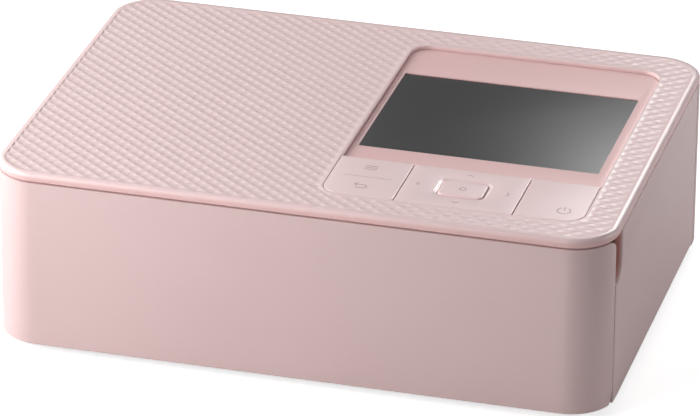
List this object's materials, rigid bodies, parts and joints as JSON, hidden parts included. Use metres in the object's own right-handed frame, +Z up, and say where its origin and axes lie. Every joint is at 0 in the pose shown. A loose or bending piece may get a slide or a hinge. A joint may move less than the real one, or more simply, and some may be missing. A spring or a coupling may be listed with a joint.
{
  "type": "compact photo printer",
  "caption": "Low rounded case with a bottom-hinged front cover, a side ink door, a relief-textured top with a display and keys, and a roller-fed thermal print mechanism.",
  "frame": {"origin": "on the table under the middle of the case", "axes": "+X to the right seen from the front, the front faces -Y, +Z up"},
  "size_m": [0.1822, 0.133, 0.0576],
  "materials": {
    "case_shell": "satin pale pink moulding",
    "front_shell": "satin pale pink moulding",
    "textured_cover": "pale pink moulding with a fine diamond relief",
    "case_underside": "matt",
    "inner_panel": "matt dark moulding",
    "key_caps": "satin",
    "bezel_gloss": "high gloss",
    "screen_glass": "gloss, dark",
    "dark_module": "matt",
    "circuit_board": "solder mask",
    "steel": "brushed",
    "zinc_plate": "zinc plated sheet",
    "brass_bush": "turned",
    "roller_rubber": "ground",
    "foot_rubber": "matt",
    "gear_plastic": "natural acetal",
    "cast_aluminium": "extruded",
    "ceramic": "glazed",
    "cassette_plastic": "matt",
    "ribbon_film": "film",
    "latch_plastic": "satin"
  },
  "bodies": {
    "root": {"base_tray": "case_underside", "rear_case": "case_shell", "front_inner_panel": "inner_panel", "top_cover": "textured_cover", "panel_frame": "inner_panel", "display_bezel": "bezel_gloss", "display_glass": "screen_glass", "lcd_module": "dark_module", "key_board": "circuit_board", "key_switches": "dark_module", "chassis": "zinc_plate", "bushes": "brass_bush", "paper_guide": "inner_panel", "pinch_bracket": "inner_panel", "gear_bracket": "zinc_plate", "feed_motor": "zinc_plate", "pickup_motor": "zinc_plate", "head_pivot_shaft": "steel", "cassette_body": "cassette_plastic", "ribbon_web": "ribbon_film", "main_board": "circuit_board", "board_parts": "dark_module", "power_jack": "dark_module", "usb_c_port": "steel", "usb_socket": "steel", "card_socket": "steel", "feet": "foot_rubber", "case_screws": "steel"},
    "front_cover": {"front_cover": "front_shell", "front_hinge_pins": "steel"},
    "ink_door": {"ink_door": "case_shell", "ink_hinge_pins": "steel"},
    "menu_back_rocker": {"menu_back_rocker": "key_caps"},
    "nav_gimbal": {"nav_gimbal": "inner_panel"},
    "nav_pad": {"nav_pad": "key_caps"},
    "ok_button": {"ok_button": "key_caps"},
    "power_button": {"power_button": "key_caps"},
    "feed_roller": {"feed_roller": "steel", "feed_gear": "gear_plastic"},
    "reduction_gear": {"reduction_gear": "gear_plastic"},
    "feed_pinion": {"feed_pinion": "brass_bush"},
    "take_up": {"take_up_gear": "gear_plastic", "take_up_spool": "ribbon_film"},
    "supply_spool": {"supply_spool": "ribbon_film"},
    "pinch_roller": {"pinch_roller": "roller_rubber"},
    "platen_roller": {"platen_roller": "roller_rubber"},
    "pickup_roller": {"pickup_roller": "roller_rubber", "pickup_gear": "gear_plastic"},
    "pickup_pinion": {"pickup_pinion": "brass_bush"},
    "print_head_arm": {"head_bracket": "zinc_plate", "heat_sink": "cast_aluminium", "print_head": "ceramic", "head_springs": "steel"},
    "cassette_latch": {"cassette_latch": "latch_plastic"}
  },
  "joints": [
    {"name": "front_cover_hinge", "type": "hinge", "parent": "root", "child": "front_cover", "pos_m": [0, -0.0619, 0.0067], "axis": [1, 0, 0], "range_deg": [0, 90]},
    {"name": "ink_door_hinge", "type": "hinge", "parent": "root", "child": "ink_door", "pos_m": [0.0865, 0, 0.0067], "axis": [0, 1, 0], "range_deg": [0, 90]},
    {"name": "menu_back_rock", "type": "hinge", "parent": "root", "child": "menu_back_rocker", "pos_m": [0.0149, -0.0425, 0.0558], "axis": [1, 0, 0], "range_deg": [-1.5, 1.5], "stiffness_Nm_per_rad": 0.6},
    {"name": "nav_tilt_y", "type": "hinge", "parent": "root", "child": "nav_gimbal", "pos_m": [0.04305, -0.0425, 0.0558], "axis": [1, 0, 0], "range_deg": [-1.2, 1.2], "stiffness_Nm_per_rad": 0.6},
    {"name": "nav_tilt_x", "type": "hinge", "parent": "nav_gimbal", "child": "nav_pad", "pos_m": [0.04305, -0.0425, 0.0558], "axis": [0, 1, 0], "range_deg": [-1.2, 1.2], "stiffness_Nm_per_rad": 0.6},
    {"name": "ok_press", "type": "slide", "parent": "root", "child": "ok_button", "axis": [0, 0, -1], "range_m": [0, 0.0004], "stiffness_N_per_m": 1500},
    {"name": "power_press", "type": "slide", "parent": "root", "child": "power_button", "axis": [0, 0, -1], "range_m": [0, 0.0004], "stiffness_N_per_m": 1500},
    {"name": "feed_roller_spin", "type": "hinge", "parent": "root", "child": "feed_roller", "pos_m": [0, 0.05, 0.024], "axis": [1, 0, 0], "continuous": true},
    {"name": "reduction_gear_spin", "type": "hinge", "parent": "root", "child": "reduction_gear", "pos_m": [0, 0.03586, 0.01741], "axis": [1, 0, 0], "continuous": true},
    {"name": "feed_motor_spin", "type": "hinge", "parent": "root", "child": "feed_pinion", "pos_m": [0, 0.0212, 0.02274], "axis": [1, 0, 0], "continuous": true},
    {"name": "take_up_spin", "type": "hinge", "parent": "root", "child": "take_up", "pos_m": [0, 0.04068, 0.0394], "axis": [1, 0, 0], "continuous": true},
    {"name": "supply_spin", "type": "hinge", "parent": "root", "child": "supply_spool", "pos_m": [0, -0.00032, 0.0394], "axis": [1, 0, 0], "continuous": true},
    {"name": "pinch_roller_spin", "type": "hinge", "parent": "root", "child": "pinch_roller", "pos_m": [0, 0.05, 0.0322], "axis": [1, 0, 0], "continuous": true},
    {"name": "platen_spin", "type": "hinge", "parent": "root", "child": "platen_roller", "pos_m": [0, 0.018, 0.022], "axis": [1, 0, 0], "continuous": true},
    {"name": "pickup_roller_spin", "type": "hinge", "parent": "root", "child": "pickup_roller", "pos_m": [0, -0.022, 0.035], "axis": [1, 0, 0], "continuous": true},
    {"name": "pickup_motor_spin", "type": "hinge", "parent": "root", "child": "pickup_pinion", "pos_m": [0, -0.01012, 0.02312], "axis": [1, 0, 0], "continuous": true},
    {"name": "print_head_lift", "type": "hinge", "parent": "root", "child": "print_head_arm", "pos_m": [0, 0.056, 0.044], "axis": [1, 0, 0], "range_deg": [0, 3.5], "stiffness_Nm_per_rad": 0.6, "springref_deg": -14.32},
    {"name": "cassette_latch_slide", "type": "slide", "parent": "root", "child": "cassette_latch", "axis": [0, 1, 0], "range_m": [0, 0.0034], "stiffness_N_per_m": 200}
  ],
  "couplings": [
    {"joint": "reduction_gear_spin", "follows": "feed_roller_spin", "ratio": -2.25},
    {"joint": "feed_motor_spin", "follows": "feed_roller_spin", "ratio": 7.5},
    {"joint": "take_up_spin", "follows": "feed_roller_spin", "ratio": -1.5},
    {"joint": "supply_spin", "follows": "feed_roller_spin", "ratio": -1.0781},
    {"joint": "pinch_roller_spin", "follows": "feed_roller_spin", "ratio": -1.6667},
    {"joint": "pickup_motor_spin", "follows": "pickup_roller_spin", "ratio": -3.6667}
  ]
}
